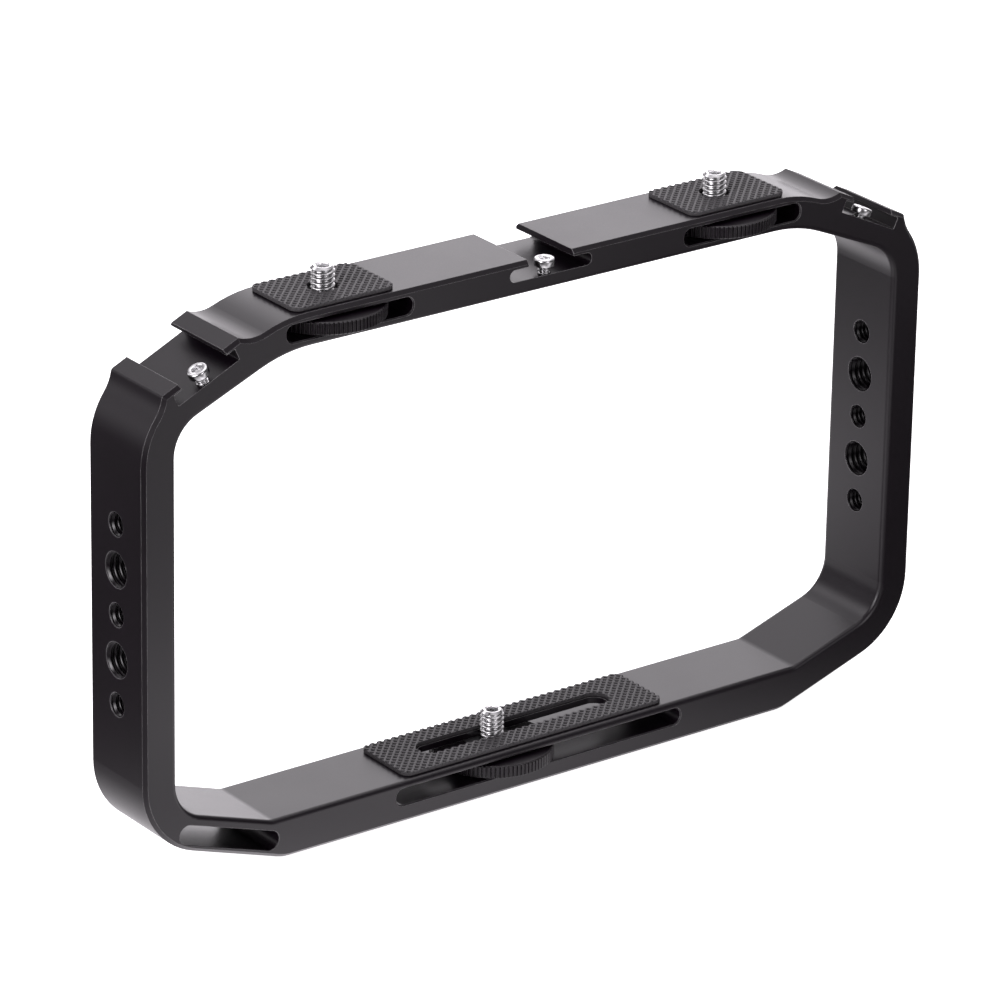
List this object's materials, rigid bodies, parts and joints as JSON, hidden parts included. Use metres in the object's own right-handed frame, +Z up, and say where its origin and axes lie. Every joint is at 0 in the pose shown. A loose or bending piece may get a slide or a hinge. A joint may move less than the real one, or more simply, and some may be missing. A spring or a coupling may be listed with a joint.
{
  "type": "camera cage",
  "caption": "Closed rectangular camera cage with accessory shoes along its top, captive thumbwheel mounting screws on rubber pads, and tapped holes down both sides.",
  "frame": {"origin": "middle of the flat bottom face", "axes": "+X along the bars to the right seen from the front, -Y towards the front, +Z up"},
  "size_m": [0.2474, 0.0328, 0.1533],
  "materials": {
    "anodised_frame": "satin black anodised",
    "anodised_wheel": "black anodised, straight knurl on the rim",
    "bright_steel": "bright plated steel thread",
    "rubber_pad": "matt black, cross-hatched",
    "adhesive": "thin adhesive film",
    "nylon": "black nylon"
  },
  "bodies": {
    "cage": {"cage_frame": "anodised_frame", "top_left_pad": "rubber_pad", "top_right_pad": "rubber_pad", "bottom_pad": "rubber_pad", "top_left_pad_adhesive": "adhesive", "top_right_pad_adhesive": "adhesive", "bottom_pad_adhesive": "adhesive"},
    "top_left_screw": {"top_left_stud": "bright_steel", "top_left_wheel": "anodised_wheel", "top_left_washer": "nylon"},
    "top_right_screw": {"top_right_stud": "bright_steel", "top_right_wheel": "anodised_wheel", "top_right_washer": "nylon"},
    "bottom_glide": {"bottom_washer": "nylon"},
    "bottom_screw": {"bottom_stud": "bright_steel", "bottom_wheel": "anodised_wheel"},
    "left_stop": {"left_shoe_stop_screw": "bright_steel"},
    "centre_stop": {"centre_shoe_stop_screw": "bright_steel"},
    "right_stop": {"right_shoe_stop_screw": "bright_steel"}
  },
  "joints": [
    {"name": "top_left_screw_turn", "type": "hinge", "parent": "cage", "child": "top_left_screw", "pos_m": [-0.062, 0, 0.147], "axis": [0, 0, 1], "continuous": true},
    {"name": "top_right_screw_turn", "type": "hinge", "parent": "cage", "child": "top_right_screw", "pos_m": [0.062, 0, 0.147], "axis": [0, 0, 1], "continuous": true},
    {"name": "bottom_screw_slide", "type": "slide", "parent": "cage", "child": "bottom_glide", "axis": [1, 0, 0], "range_m": [-0.0197, 0.0337]},
    {"name": "bottom_screw_turn", "type": "hinge", "parent": "bottom_glide", "child": "bottom_screw", "pos_m": [-0.007, 0, 0.012], "axis": [0, 0, 1], "continuous": true},
    {"name": "left_stop_rise", "type": "slide", "parent": "cage", "child": "left_stop", "axis": [-0.4226, 0, 0.9063], "range_m": [-0.002, 0.0014]},
    {"name": "centre_stop_rise", "type": "slide", "parent": "cage", "child": "centre_stop", "axis": [0, 0, 1], "range_m": [-0.0008, 0.0015]},
    {"name": "right_stop_rise", "type": "slide", "parent": "cage", "child": "right_stop", "axis": [0.4226, 0, 0.9063], "range_m": [-0.0009, 0.0025]}
  ]
}
